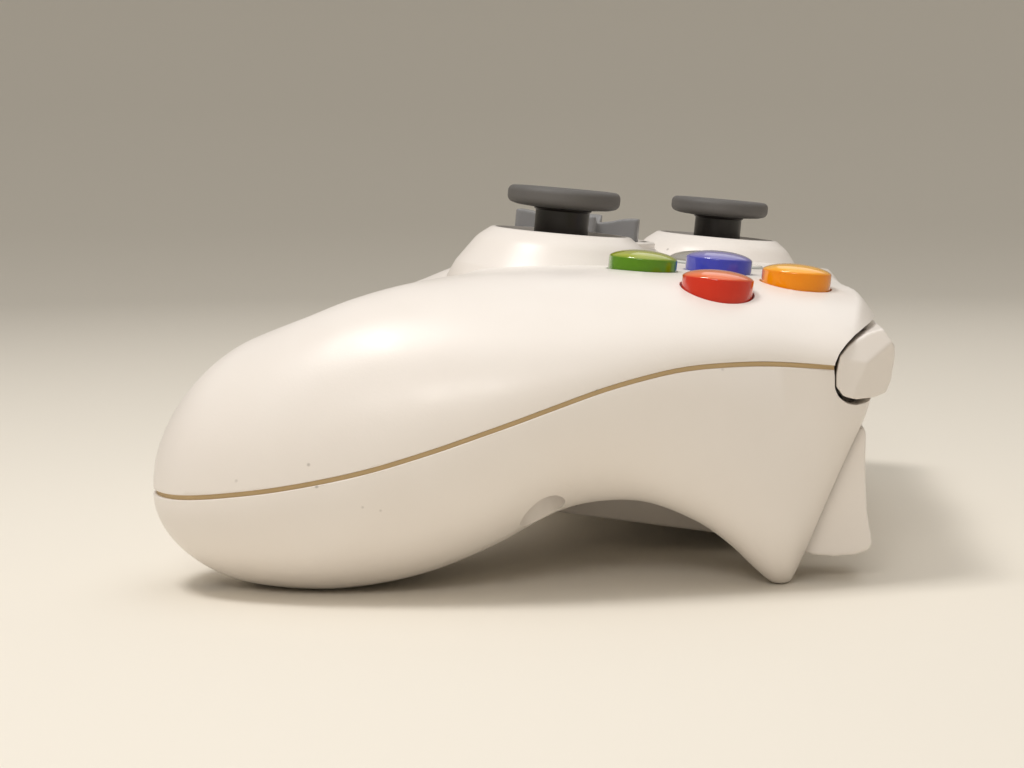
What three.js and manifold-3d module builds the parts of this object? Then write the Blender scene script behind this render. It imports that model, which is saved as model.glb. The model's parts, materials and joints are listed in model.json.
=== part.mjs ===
// A two-handed wireless gamepad, standing on its two grips and its two trigger guards.
// Units are millimetres. +X points to the player's right, +Y away from the player (towards the triggers)
// and +Z up. The origin is on the table, under the middle of the gamepad.
import * as THREE from "three";
import { mergeVertices } from "three/addons/utils/BufferGeometryUtils.js";
import Module from "manifold-3d";

const wasm = await Module();
wasm.setup();
const degrees = THREE.MathUtils.degToRad;
const { clamp, lerp, smoothstep } = THREE.MathUtils;

// ---------------------------------------------------------------- driving dimensions
const WALL = 2.2; // thickness of both casings
const SEAM_GAP = 0.8; // the shadow gap between the casings
const HOOD_FRONT = 55; // how far the top casing reaches over the bumpers
const CHIN_FRONT = 52.2; // how far the bottom casing reaches under them

const FACE_ORIGIN = [0, 15, 49.6]; // a point on the plane of the stick collars' rims
const FACE_TILT = 5.5; // degrees that this plane falls towards the triggers
const LEFT_STICK = [-39, 13]; // places on the face, in its own plane
const RIGHT_STICK = [19.5, -12.3];
const DPAD = [-18.5, -12.3];
const MENU = [0, 26.4, 44.6]; // the guide button's place on the casing
const MENU_SPREAD = 14.6; // from there to the back and start buttons
const FACE_BUTTONS = {
  green: [40, 16.7, 45.4],
  red: [52.2, 28, 42.9],
  blue: [27.8, 28.2, 44.8],
  amber: [40, 39.8, 43.2],
};
const BUTTON_RADIUS = 5.2;

const PIVOT = -14; // the sticks' pivots, down from the rims
const BOARD_TOP = -19.4;
const BOARD_THICKNESS = 1.6;

const PACK_ORIGIN = [0, 21, 3.6]; // the middle of the battery pack's underside
const PACK_TILT = 7; // degrees that the underside falls towards the triggers
const PACK_SIZE = [55, 42, 12.6];
const CELL_RADIUS = 7.1;
const CELL_LENGTH = 50;

const TRIGGER_AXIS = [45.4, 26.6]; // Y and Z
const TRIGGER_SPAN = [39.3, 52];
const BUMPER_PIN = [17, 47.6]; // X and Y
const SYNC_BUTTON = [10, 51.2, 34]; // the middle of its inner end
const PORT = [0, 49.6, 30.8]; // the middle of the accessory port's housing
const MOTOR = [47, -30, 18]; // the inner end of the right motor's axis
const SCREWS = [[60, -44.6, 9.2], [65, 3.5, 17.2], [32.5, -16.8, 16.5]]; // X, Y and the height of the seat

const PIN_RADIUS = 1.05; // the steel and moulded pins that levers turn on
const PIN_HOLE = 1.35;

// ---------------------------------------------------------------- colours
const finish = (color, roughness, metalness = 0) =>
  new THREE.MeshStandardMaterial({ color, roughness, metalness });
const shellWhite = finish(0xeee6dc, 0.38);
const stickRubber = finish(0x6e6a66, 0.72);
const stickBlack = finish(0x1c1917, 0.45);
const padGrey = finish(0x77777a, 0.5);
const innerPlastic = finish(0x2a2a2c, 0.6);
const rubberGrey = finish(0xb8b4ac, 0.85);
const steel = finish(0xb9bcc0, 0.35, 1);
const boardGreen = finish(0x1f5a36, 0.55);
const cellJacket = finish(0x2c3e50, 0.4);
const greenLens = finish(0x5f8f16, 0.12);
const redLens = finish(0xd83a16, 0.12);
const blueLens = finish(0x3c45b4, 0.12);
const amberLens = finish(0xf09a08, 0.12);
const silver = finish(0xc9c6c0, 0.25, 0.6);
const ringLens = finish(0xd8dcd6, 0.2);

// ---------------------------------------------------------------- solids and meshes
// A closed geometry as a manifold solid, with its faces turned outwards.
function solidOf(geometry, matrix) {
  const plain = geometry.clone();
  plain.deleteAttribute("normal");
  plain.deleteAttribute("uv");
  if (matrix) plain.applyMatrix4(matrix);
  const merged = mergeVertices(plain, 1e-4);
  const corners = merged.index.array;
  const kept = [];
  for (let i = 0; i < corners.length; i += 3) {
    const [a, b, c] = [corners[i], corners[i + 1], corners[i + 2]];
    if (a !== b && b !== c && c !== a) kept.push(a, b, c);
  }
  const build = (triangles) =>
    new wasm.Manifold(
      new wasm.Mesh({
        numProp: 3,
        vertProperties: new Float32Array(merged.attributes.position.array),
        triVerts: new Uint32Array(triangles),
      }),
    );
  const made = build(kept);
  if (made.volume() >= 0) return made;
  const turned = [];
  for (let i = 0; i < kept.length; i += 3) turned.push(kept[i], kept[i + 2], kept[i + 1]);
  return build(turned);
}

function geometryOf(solid) {
  const { numProp, vertProperties, triVerts } = solid.getMesh();
  const positions = [];
  for (let i = 0; i < vertProperties.length; i += numProp) {
    positions.push(...vertProperties.subarray(i, i + 3));
  }
  const geometry = new THREE.BufferGeometry();
  geometry.setAttribute("position", new THREE.Float32BufferAttribute(positions, 3));
  geometry.setIndex(new THREE.BufferAttribute(new Uint32Array(triVerts), 1));
  return geometry;
}

const join = (first, ...others) => others.reduce((sum, other) => sum.add(other), first);
const cut = (first, ...others) => others.reduce((rest, other) => rest.subtract(other), first);

function mesh(name, solid, material, parent) {
  const made = new THREE.Mesh(geometryOf(solid), material);
  made.name = name;
  parent.add(made);
  return made;
}

const at = (x, y, z) => new THREE.Matrix4().makeTranslation(x, y, z);
const along = {
  x: new THREE.Matrix4().makeRotationY(Math.PI / 2),
  y: new THREE.Matrix4().makeRotationX(-Math.PI / 2),
};
const point2 = ([x, y]) => new THREE.Vector2(x, y);

const box = (sizeX, sizeY, sizeZ, x, y, z) =>
  solidOf(new THREE.BoxGeometry(sizeX, sizeY, sizeZ), at(x, y, z));

// A solid turned about +Z from a profile of [radius, height] pairs, which starts and ends on the axis or
// closes on itself.
function turned(profile, segments = 16) {
  const lathe = new THREE.LatheGeometry(profile.map(point2), segments);
  return solidOf(lathe.rotateX(Math.PI / 2));
}
const rod = (radius, low, high, segments = 12) =>
  turned([[0, low], [radius, low], [radius, high], [0, high]], segments);
const tube = (inner, outer, low, high, segments = 16) =>
  turned([[inner, low], [outer, low], [outer, high], [inner, high], [inner, low]], segments);
const placed = (solid, matrix) => solidOf(geometryOf(solid), matrix);

// A plate whose outline lies in X and Y, between two heights.
function plate(outline, low, high, options = {}) {
  const depth = high - low;
  const shape = outline instanceof THREE.Shape ? outline : new THREE.Shape(outline.map(point2));
  return solidOf(new THREE.ExtrudeGeometry(shape, { depth, bevelEnabled: false, ...options }), at(0, 0, low));
}

// A bar whose outline lies in Y and Z, between two places along X.
const TO_SIDE = new THREE.Matrix4().makeBasis(
  new THREE.Vector3(0, 1, 0),
  new THREE.Vector3(0, 0, 1),
  new THREE.Vector3(1, 0, 0),
);
const bar = (outline, left, right) => placed(plate(outline, left, right), TO_SIDE);

function roundedRectangle(width, height, radius, x = 0, y = 0) {
  const [right, top] = [width / 2 - radius, height / 2 - radius];
  const shape = new THREE.Shape();
  shape.absarc(x + right, y + top, radius, 0, Math.PI / 2);
  shape.absarc(x - right, y + top, radius, Math.PI / 2, Math.PI);
  shape.absarc(x - right, y - top, radius, Math.PI, 1.5 * Math.PI);
  shape.absarc(x + right, y - top, radius, 1.5 * Math.PI, 2 * Math.PI);
  return new THREE.Shape(shape.getPoints(2));
}

// ---------------------------------------------------------------- the casing's surfaces
// A smooth curve through [place, value] pairs, as a function of the place.
function curveThrough(pairs) {
  const last = pairs.length - 1;
  const slope = (i) => {
    const [a, b] = [pairs[Math.max(i - 1, 0)], pairs[Math.min(i + 1, last)]];
    return (b[1] - a[1]) / (b[0] - a[0]);
  };
  return (place) => {
    const p = clamp(place, pairs[0][0], pairs[last][0]);
    const next = pairs.findIndex(([x]) => x > p);
    const k = next < 0 ? last - 1 : Math.max(next - 1, 0);
    const [[x0, y0], [x1, y1]] = [pairs[k], pairs[k + 1]];
    const [h, t] = [x1 - x0, (p - x0) / (x1 - x0)];
    const [t2, t3] = [t * t, t * t * t];
    return (
      (2 * t3 - 3 * t2 + 1) * y0 +
      (t3 - 2 * t2 + t) * h * slope(k) +
      (3 * t2 - 2 * t3) * y1 +
      (t3 - t2) * h * slope(k + 1)
    );
  };
}

// The plan of the right half, from the middle of the rear edge round the grip to the shoulder.
const REAR_EDGE = [[0, -14], [12, -15], [22, -17.5], [31, -22.5], [37.5, -31], [42, -42], [49, -51]];
const GRIP_TIP = [60, -54.4];
const SIDE_EDGE = [[70, -49], [75.4, -36], [76.5, -18], [74.5, 0], [70.5, 16], [65.8, 30], [61.6, 40]];
const SHOULDER = [[59.2, 6.5], [55, 2.4], [46, 0.5], [30, 0], [12, 0], [0, 0]]; // X, and back from the front

const seamHeight = curveThrough([
  [-54, 14.5], [-48, 14.8], [-41.5, 15.5], [-31.5, 17], [-20.5, 19.3], [-11, 22.1], [-4.5, 24.3], [1, 26.2], [6, 28],
  [13, 30.4], [20, 32.2], [24.5, 32.95], [30, 33.25], [35, 33.2], [42, 32.6], [46, 32.2], [56, 31.6],
]);
const crownHeight = curveThrough([
  [-54, 33], [-46, 34.9], [-39, 36.8], [-32, 39.3], [-25, 42], [-18, 43.9], [-9, 45.3], [3, 45.9], [17, 45.4],
  [28, 44.5], [40, 43.3], [54, 41.5],
]);
const bellyHeight = curveThrough([
  [-54, 1.4], [-44, 0.4], [-34, -0.25], [-25, 0.1], [-14, 2.4], [-4, 6.4], [5, 11.2], [11, 12.7], [18, 12.5],
  [25.4, 9.4], [30, 5.9], [34, 1.8], [36.4, -0.15], [38.6, -0.1], [39.8, 1.8], [41.1, 4.7], [44.9, 13.4],
  [49.3, 23.2], [51, 27], [52.2, 29.8],
]);
const centreBelly = curveThrough([[-14, 14], [0, 13], [36, 12], [44, 15], [51, 24], [52.2, 26]]);
const topRound = curveThrough([[-54, 17.4], [-30, 18], [-10, 22], [8, 26], [54, 26]]);
const bottomRound = curveThrough([[-54, 17.4], [-30, 17.8], [-10, 17], [10, 15], [30, 12], [54, 11]]);
const HOOD_SLOPE = [7.5, 5.5]; // how far back the hood slopes at its front, in the middle and at its shoulders
const CHIN_ROUND = 2;
const FRONT_BOW = [35, 0.0045]; // where the front edge starts to fall back, and by how much of a square

const frontEdge = (x, front) => front - FRONT_BOW[1] * Math.max(0, Math.abs(x) - FRONT_BOW[0]) ** 2;

// Rises from 0 at an edge to 1 at its rounding's full depth; power 2 is a quarter of an ellipse.
function rounding(share, power = 2) {
  return (1 - (1 - clamp(share, 0, 1)) ** power) ** (1 / power);
}

// The plan's outline as a closed row of points, from the middle of the rear edge by way of the right grip.
function outline(front, inset = 0, count = 720) {
  const shoulder = SHOULDER.map(([x, back]) => [x, front - back]);
  const half = [...REAR_EDGE, GRIP_TIP, ...SIDE_EDGE, ...shoulder];
  const other = half.slice(1, -1).map(([x, y]) => [-x, y]);
  const loop = [...half, ...other.reverse()].map(([x, y]) => new THREE.Vector3(x, y, 0));
  const curve = new THREE.CatmullRomCurve3(loop, true, "centripetal");
  return Array.from({ length: count }, (_, i) => {
    const p = curve.getPoint(i / count);
    const t = curve.getTangent(i / count);
    return [p.x - t.y * inset, p.y + t.x * inset];
  });
}

// The distance inwards from the plan's sides and rear edge; the front edge doesn't count.
const sides = outline(75, 0, 420).filter(([, y]) => y < 68);
function sideDistance(x, y) {
  let [least, near] = [Infinity, 0];
  for (let i = 0; i < sides.length; i++) {
    const d = (sides[i][0] - x) ** 2 + (sides[i][1] - y) ** 2;
    if (d < least) [least, near] = [d, i];
  }
  const [ax, ay] = sides[(near + sides.length - 1) % sides.length];
  const [bx, by] = sides[(near + 1) % sides.length];
  const cross = (bx - ax) * (y - ay) - (by - ay) * (x - ax);
  return cross > 0 ? cross / Math.hypot(bx - ax, by - ay) : -Math.sqrt(least);
}

function topSurface(x, y) {
  const base = seamHeight(y) + SEAM_GAP / 2;
  const middle = (1 - smoothstep(Math.abs(x), 24, 50)) * smoothstep(y, -46, -18) * (1 - smoothstep(y, 8, 20));
  const side = rounding(sideDistance(x, y) / lerp(topRound(y), 10, middle));
  const slope = lerp(...HOOD_SLOPE, smoothstep(Math.abs(x), 20, 46));
  const front = rounding((frontEdge(x, HOOD_FRONT) - y) / slope, 1.2);
  return base + (crownHeight(y) - base) * side * front;
}
function bottomSurface(x, y) {
  const base = seamHeight(y) - SEAM_GAP / 2;
  const side = rounding(sideDistance(x, y) / bottomRound(y), lerp(2, 2.6, smoothstep(y, 5, 30)));
  const front = rounding((frontEdge(x, CHIN_FRONT) - y) / CHIN_ROUND);
  const outwards = 1 - (1 - smoothstep(Math.abs(x), 31, 36.5)) * smoothstep(y, -12, 6);
  return base - (base - lerp(centreBelly(y), bellyHeight(y), outwards)) * side * front;
}

// The same surfaces moved inwards by a wall, measured square to them.
const [STEEP, HALF] = [0.87, 0.5];
const OFFSETS = [
  [0, 0, 1], [STEEP, 0, HALF], [-STEEP, 0, HALF], [0, STEEP, HALF], [0, -STEEP, HALF],
  [1, 0, 0], [-1, 0, 0], [0, 1, 0], [0, -1, 0],
];
const underTop = (x, y) =>
  Math.min(...OFFSETS.map(([a, b, c]) => topSurface(x + a * WALL, y + b * WALL) - c * WALL));
const overBottom = (x, y) =>
  Math.max(...OFFSETS.map(([a, b, c]) => bottomSurface(x + a * WALL, y + b * WALL) + c * WALL));

// How finely a sheet over the plan is divided: places along X, steps behind the middle, and places along Y
// in front of it.
const FINE = {
  columns: [0, 15, 28, 33, 36.5, 44, 52, 59.5, 66, 71.2, 74.8],
  rear: 7,
  rows: [11.5, 18.5, 25, 30, 34, 36.4, 38.4, 40.6, 44.4, 48.8, 52.2],
};
const COARSE = { columns: [0, 31, 37, 48, 60, 69, 75], rear: 6, rows: [13, 24, 33.5, 38.8, 45, 52.2] };

// A closed solid over the plan, between an upper and a lower sheet that meet at its edge or are joined by walls.
function overPlan(front, inset, upper, lower, divisions = COARSE) {
  const loop = outline(front, inset);
  const widest = Math.max(...loop.map(([x]) => x));
  const crossings = (x) => {
    const found = [];
    loop.forEach(([ax, ay], i) => {
      const [bx, by] = loop[(i + 1) % loop.length];
      if (ax <= x !== bx <= x) found.push(lerp(ay, by, (x - ax) / (bx - ax)));
    });
    return [Math.min(...found), Math.max(...found)];
  };
  const side = divisions.columns.slice(1).map((x) => (x * (widest - 0.02)) / divisions.columns.at(-1));
  const places = [...side.map((x) => -x).reverse(), 0, ...side];
  const { rear } = divisions;
  const grid = places.map((x) => {
    const [low, high] = crossings(x);
    const w = 1 - smoothstep(Math.abs(x), 60, widest);
    const split = lerp((low + high) / 2, 5, w);
    const eased = (j) => 1 - Math.cos((Math.PI * j) / rear / 2);
    const rows = Array.from({ length: rear + 1 }, (_, j) => lerp(low, split, eased(j)));
    const last = divisions.rows.at(-1);
    for (const row of divisions.rows) {
      const straight = (row - 5) / (last - 5);
      rows.push(lerp(split, high, lerp(Math.sin((Math.PI / 2) * straight), straight, w)));
    }
    return rows.map((y) => [x, y]);
  });
  const [columns, rows] = [grid.length - 1, grid[0].length - 1];
  const positions = [];
  const index = [];
  const sheet = (height) => {
    const start = positions.length / 3;
    grid.forEach((row, i) => {
      row.forEach(([x, y], j) => {
        const edge = i === 0 || i === columns || j === 0 || j === rows;
        positions.push(x, y, height(x, y, edge));
      });
    });
    return start;
  };
  const [up, down] = [sheet(upper), sheet(lower)];
  const add = (a, b, c, d) => index.push(a, b, c, a, c, d);
  const n = rows + 1;
  for (let i = 0; i < columns; i++) {
    for (let j = 0; j < rows; j++) {
      const k = i * n + j;
      add(up + k, up + k + n, up + k + n + 1, up + k + 1);
      add(down + k, down + k + 1, down + k + n + 1, down + k + n);
    }
    add(up + i * n, down + i * n, down + i * n + n, up + i * n + n);
    add(up + i * n + rows, up + i * n + n + rows, down + i * n + n + rows, down + i * n + rows);
  }
  for (let j = 0; j < rows; j++) {
    add(up + j, up + j + 1, down + j + 1, down + j);
    const k = columns * n + j;
    add(up + k, down + k, down + k + 1, up + k + 1);
  }
  const geometry = new THREE.BufferGeometry();
  geometry.setAttribute("position", new THREE.Float32BufferAttribute(positions, 3));
  geometry.setIndex(index);
  return solidOf(geometry);
}
const seam = (offset) => (x, y) => seamHeight(y) + offset;
const edged = (height, offset) => (x, y, edge) => (edge ? seamHeight(y) + offset : height(x, y));

// ---------------------------------------------------------------- places
const tilted = ([x, y, z], angle) => at(x, y, z).multiply(new THREE.Matrix4().makeRotationX(degrees(-angle)));
const face = tilted(FACE_ORIGIN, FACE_TILT);
const onFace = ([x, y], z = 0) => face.clone().multiply(at(x, y, z));
const menu = (x = 0) => tilted([MENU[0] + x, MENU[1], MENU[2]], FACE_TILT);
const pack = tilted(PACK_ORIGIN, PACK_TILT);
const mirrored = (solid) => solidOf(geometryOf(solid).applyMatrix4(new THREE.Matrix4().makeScale(-1, 1, 1)));

const root = new THREE.Group();
const group = (name) => {
  const made = new THREE.Group();
  made.name = name;
  root.add(made);
  return made;
};

// ---------------------------------------------------------------- sticks
const stickLayout = { left_stick: onFace(LEFT_STICK), right_stick: onFace(RIGHT_STICK) };
const square = (outer, inner, low, high) => {
  const [depth, middle] = [high - low, (low + high) / 2];
  return cut(box(outer, outer, depth, 0, 0, middle), box(inner, inner, depth + 2, 0, 0, middle));
};
const lying = (radius, length, direction, z, x = 0) =>
  placed(rod(radius, -length / 2, length / 2, 8), at(x, 0, z).multiply(along[direction]));

const rearSlope = bar([[-9.5, -16.3], [-9.5, -8], [-1.5, -8]], -10, 10); // clears the casing's rear
const stickBase = cut(box(17.6, 17.6, 8.1, 0, 0, -15.05), box(15, 15, 8, 0, 0, -13.5), rearSlope);
const [STUB, STUB_HOLE, STUB_PLACE] = [0.8, 1.15, 5]; // a gimbal stub's radius, its hole's, and its X
const stickFrame = cut(square(14.2, 11.8, -16.2, -12), lying(STUB_HOLE, 16, "x", PIVOT), rearSlope);
const stickYoke = cut(
  join(
    square(10.6, 7.4, -15.4, -12.6),
    lying(STUB, 3.2, "x", PIVOT, STUB_PLACE),
    lying(STUB, 3.2, "x", PIVOT, -STUB_PLACE),
  ),
  lying(STUB_HOLE, 12, "y", PIVOT),
);
const skirt = turned([
  [0, -2.4], [3, -2.8], [5.8, -3.95], [8.2, -5.8], [7.5, -6.5], [5.2, -4.95], [2.6, -3.9], [0, -3.6],
]);
const stickShaft = join(rod(2.2, -15.9, 4.8), rod(4.4, -4.5, 3.4), skirt, lying(STUB, 9.6, "y", PIVOT));
const stickCap = cut(
  turned([
    [0, 3.7], [5.2, 3.7], [7.6, 3.9], [8.8, 4.5], [9.3, 5.5], [8.9, 6.5], [8.1, 7.0], [6.4, 6.6], [0, 6.3],
  ], 22),
  rod(2.5, 2, 5.1),
);
for (const [name, place] of Object.entries(stickLayout)) {
  const parent = group(name);
  mesh(`${name}_base`, placed(stickBase, place), innerPlastic, parent);
  mesh(`${name}_frame`, placed(stickFrame, place), innerPlastic, parent);
  mesh(`${name}_yoke`, placed(stickYoke, place), innerPlastic, parent);
  mesh(`${name}_shaft`, placed(stickShaft, place), stickBlack, parent);
  mesh(`${name}_cap`, placed(stickCap, place), stickRubber, parent);
}

// ---------------------------------------------------------------- direction pad
const dpadPlace = onFace(DPAD);
const dpad = group("dpad");
const [CROSS_REACH, CROSS_WIDTH] = [11.1, 7.6];
const crossPlate = (reach, width, low, high) => {
  const [depth, middle] = [high - low, (low + high) / 2];
  return join(box(2 * reach, width, depth, 0, 0, middle), box(width, 2 * reach, depth, 0, 0, middle));
};
const dish = turned(
  [[0, 0.65], [4, 0.8], [7, 1.45], [9.2, 2.15], [11.6, 2.35], [18, 5], [18, 12], [0, 12]],
  14,
);
const ball = solidOf(new THREE.SphereGeometry(2.4, 10, 6), at(0, 0, -6));
const socket = solidOf(new THREE.SphereGeometry(2.9, 10, 6), at(0, 0, -6));
const socketMouth = turned([[0, -12], [4.6, -12], [2.5, -6], [0, -6]], 20);
const crossPost = turned([[0, -8.9], [1.8, -8.9], [1.8, -18.8], [3.4, -18.8], [3.4, -19.1], [0, -19.1]]);
const plunger = rod(1.9, -16.6, -9.6, 8);
const plungers = [[7, 0], [-7, 0], [0, 7], [0, -7]].map(([x, y]) => placed(plunger, at(x, y, 0)));
const dishedCross = cut(crossPlate(CROSS_REACH, CROSS_WIDTH, -9.6, 4), dish);
const cross = join(cut(join(dishedCross, rod(8.6, -10.2, -9.2, 14)), socket, socketMouth), ...plungers);
mesh("dpad_cross", placed(cross, dpadPlace), padGrey, dpad);
mesh("dpad_pivot", placed(ball, dpadPlace), rubberGrey, dpad);
mesh("dpad_post", placed(crossPost, dpadPlace), innerPlastic, dpad);
mesh("dpad_membrane", placed(tube(4, 11, -19.1, -18.1), dpadPlace), rubberGrey, dpad);

// ---------------------------------------------------------------- buttons
const dome = (radius, rise, side) => [
  [radius, side], [radius * 0.97, side + (rise - side) * 0.34], [radius * 0.84, side + (rise - side) * 0.66],
  [radius * 0.5, side + (rise - side) * 0.92], [0, rise],
];
const button = (radius, rise, side, foot, flange, flangeRadius) =>
  join(
    turned([[0, foot], [radius, foot], ...dome(radius, rise, side)], 16),
    rod(flangeRadius, flange, flange + 1.2, 8),
  );
const BUTTON_FLANGE = [-8.4, 6.2]; // height and radius
const FOOT_GAP = 3.2; // from the board to the face buttons' feet
const buttons = group("buttons");
const lenses = { green: greenLens, red: redLens, blue: blueLens, amber: amberLens };
for (const [colour, spot] of Object.entries(FACE_BUTTONS)) {
  const depth = (spot[2] - FACE_ORIGIN[2]) * 0.995 + (spot[1] - FACE_ORIGIN[1]) * 0.096; // below the rims
  const foot = BOARD_TOP + FOOT_GAP - depth;
  const solid = button(BUTTON_RADIUS, 3, 1.5, foot, ...BUTTON_FLANGE);
  mesh(`${colour}_button`, placed(solid, tilted(spot, FACE_TILT)), lenses[colour], buttons);
}
const [MENU_FOOT, MENU_FLANGE] = [-12.6, -6.6];
mesh("guide_button", placed(button(6.7, 2.2, 0.7, MENU_FOOT, MENU_FLANGE, 8.2), menu()), silver, buttons);
const ring = join(tube(7.05, 9.5, -3.6, 0.5, 20), tube(7.05, 10.6, -4.6, -3.4, 20));
mesh("guide_ring", placed(ring, menu()), ringLens, buttons);
const capsule = roundedRectangle(7.2, 4.6, 2.2);
const capsuleFlange = roundedRectangle(9.2, 6.6, 2.6);
for (const [name, side] of [["back_button", -1], ["start_button", 1]]) {
  const solid = join(plate(capsule, MENU_FOOT, 1.3), plate(capsuleFlange, MENU_FLANGE, MENU_FLANGE + 1));
  mesh(name, placed(solid, menu(side * MENU_SPREAD)), padGrey, buttons);
}
mesh("menu_membrane", placed(plate(roundedRectangle(38, 11, 3), -15.2, -14.2), menu()), rubberGrey, buttons);
const buttonMembrane = plate(roundedRectangle(28.4, 28.6, 6, 40, 12.9), -19.1, -18.1);
mesh("button_membrane", placed(buttonMembrane, face), rubberGrey, buttons);

// ---------------------------------------------------------------- board
const boardOutline = [
  [8, -21.8], [12, -24.2], [40, -24.2], [50, -20], [57, -6], [55.5, 15], [46, 27.3], [30, 27.3], [28, 23.5],
];
const boardHalf = [...boardOutline, ...boardOutline.map(([x, y]) => [-x, y]).reverse()];
const board = plate(boardHalf, BOARD_TOP - BOARD_THICKNESS, BOARD_TOP);
mesh("main_board", placed(board, face), boardGreen, root);

// ---------------------------------------------------------------- battery pack
const battery = group("battery");
const [packX, packY, packZ] = PACK_SIZE;
const coverShape = roundedRectangle(packX, packY, 4);
const cover = cut(
  join(
    cut(plate(coverShape, 0, packZ), plate(roundedRectangle(packX - 3.6, packY - 3.6, 3), 1.8, packZ + 2)),
    box(16.4, 6.4, 4, 0, -17.2, 2.2),
  ),
  box(14, 5.4, 6, 0, -17.6, -0.6),
);
mesh("battery_cover", placed(cover, pack), shellWhite, battery);
mesh("battery_latch", placed(box(13.2, 3.6, 1.9, 0, -18.2, 1.15), pack), shellWhite, battery);
const end = CELL_LENGTH / 2;
const cell = turned(
  [[0, -end], [CELL_RADIUS, -end], [CELL_RADIUS, end - 1], [2.6, end - 1], [2.6, end], [0, end]],
  24,
);
for (const [name, y] of [["battery_cell_rear", -6.9], ["battery_cell_front", 7.6]]) {
  mesh(name, placed(placed(cell, at(0, y, 9.4).multiply(along.x)), pack), cellJacket, battery);
}

// ---------------------------------------------------------------- triggers
// Each is built on the right and mirrored for the left.
const [axisY, axisZ] = TRIGGER_AXIS;
const onAxis = (solid) => placed(solid, at(0, axisY, axisZ).multiply(along.x));
const blade = bar([
  [49.3, 22.9], [49.6, 22], [49.55, 17], [49.85, 10.6], [50.5, 7], [50.65, 5.8], [50.1, 4.8], [48.2, 4.1],
  [45.2, 3.8], [42, 4], [40.3, 4.7], [39.8, 5.8], [43.6, 13.4], [46.8, 20.5], [48, 22.9],
], ...TRIGGER_SPAN);
const triggerArm = join(
  onAxis(rod(2.3, 42.2, 46.6)),
  bar([[43.3, 26.2], [47.5, 26.2], [48, 22.8], [48.6, 19], [46, 19]], 42.2, 46.6),
);
const trigger = cut(join(blade, triggerArm), onAxis(rod(PIN_HOLE, 40, 48)));
const pin = onAxis(rod(PIN_RADIUS, 37.4, 49.2));

// A coil of wire about X, in turns, closed at both ends.
function coil(radius, wire, left, right, turns) {
  const [steps, around] = [turns * 10, 5];
  const positions = [];
  const index = [];
  for (let i = 0; i <= steps; i++) {
    const angle = (2 * Math.PI * turns * i) / steps;
    for (let j = 0; j < around; j++) {
      const a = (2 * Math.PI * j) / around;
      const r = radius + wire * Math.cos(a);
      const x = lerp(left, right, i / steps) + wire * Math.sin(a);
      positions.push(x, axisY + r * Math.cos(angle), axisZ + r * Math.sin(angle));
    }
  }
  for (let i = 0; i < steps; i++) {
    for (let j = 0; j < around; j++) {
      const [a, b] = [i * around + j, i * around + ((j + 1) % around)];
      index.push(a, b, b + around, a, b + around, a + around);
    }
  }
  for (let j = 1; j < around - 1; j++) {
    index.push(0, j + 1, j);
    index.push(steps * around, steps * around + j, steps * around + j + 1);
  }
  const geometry = new THREE.BufferGeometry();
  geometry.setAttribute("position", new THREE.Float32BufferAttribute(positions, 3));
  geometry.setIndex(index);
  return solidOf(geometry);
}
const spring = coil(1.85, 0.32, 39.85, 41.5, 1.5);

// ---------------------------------------------------------------- bumpers and the piece between them
// Everything on the far side of a plane through a point.
const beyond = (point, normal) => {
  const up = new THREE.Vector3(0, 0, 1);
  const turn = new THREE.Quaternion().setFromUnitVectors(up, new THREE.Vector3(...normal).normalize());
  const place = at(...point).multiply(new THREE.Matrix4().makeRotationFromQuaternion(turn));
  return placed(box(60, 60, 20, 0, 0, 10), place);
};
// Three facets meet at a bumper's outer corner.
const bumperRidge = [57.6, 49.3, 32.8];
const bumperBlock = cut(
  bar([
    [44.8, 31.5], [44.8, 29.6], [45.8, 28.2], [47.6, 27.6], [50.7, 27.6], [52.3, 28.1], [53, 29.8], [53.5, 33.4],
    [53.4, 35], [51.7, 37.5], [49.4, 36.9], [47.8, 36.1], [46.5, 35.1], [45.3, 33.8],
  ], 14.6, 60),
  beyond(bumperRidge, [1, 0.42, 0]),
  beyond(bumperRidge, [12.5, 6.5, 6.2]),
  beyond(bumperRidge, [12, 13, -3.4]),
);
const bumperLever = cut(
  bumperBlock,
  box(36, 20, 10, 31.6, 50, 27.3),
  box(36, 9.3, 1, 31.6, 47.65, 32.5),
  box(36, 6.5, 8, 31.6, 46.25, 40.2),
  box(36, 4, 8, 31.6, 44.6, 35),
);
const onPin = (solid, side = 1) => placed(solid, at(side * BUMPER_PIN[0], BUMPER_PIN[1], 0));
const bumper = cut(join(bumperLever, onPin(rod(2.3, 33, 36.2))), onPin(rod(PIN_HOLE, 30, 40)));

const [portX, portY, portZ] = PORT;
const portMouth = box(11.6, 6, 4.6, portX, 53, portZ + 0.2);
const port = cut(box(10.8, 6.2, 3.6, ...PORT), box(8.8, 5.6, 2.2, portX, portY + 1.4, portZ));
const portRoom = box(11.4, 8, 4.4, ...PORT);

const onSync = (solid) => placed(solid, at(...SYNC_BUTTON).multiply(along.y));
const coverFront = [[52.6, 28.2], [52.6, 37.2], [53.2, 36.8], [54.1, 34.2], [53.8, 28.2]];
const coverTongue = [[45.2, 33], [45.2, 36.2], [53, 36.2], [53, 33]];
const centreCover = cut(
  join(bar(coverFront, -13.9, 13.9), bar(coverTongue, -12, 7)),
  portMouth,
  onSync(rod(2.35, -2, 12)),
);
const syncButton = join(onSync(rod(1.95, 0, 3)), onSync(box(4.6, 3.2, 1.2, 0, 0, -0.2)));

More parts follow.
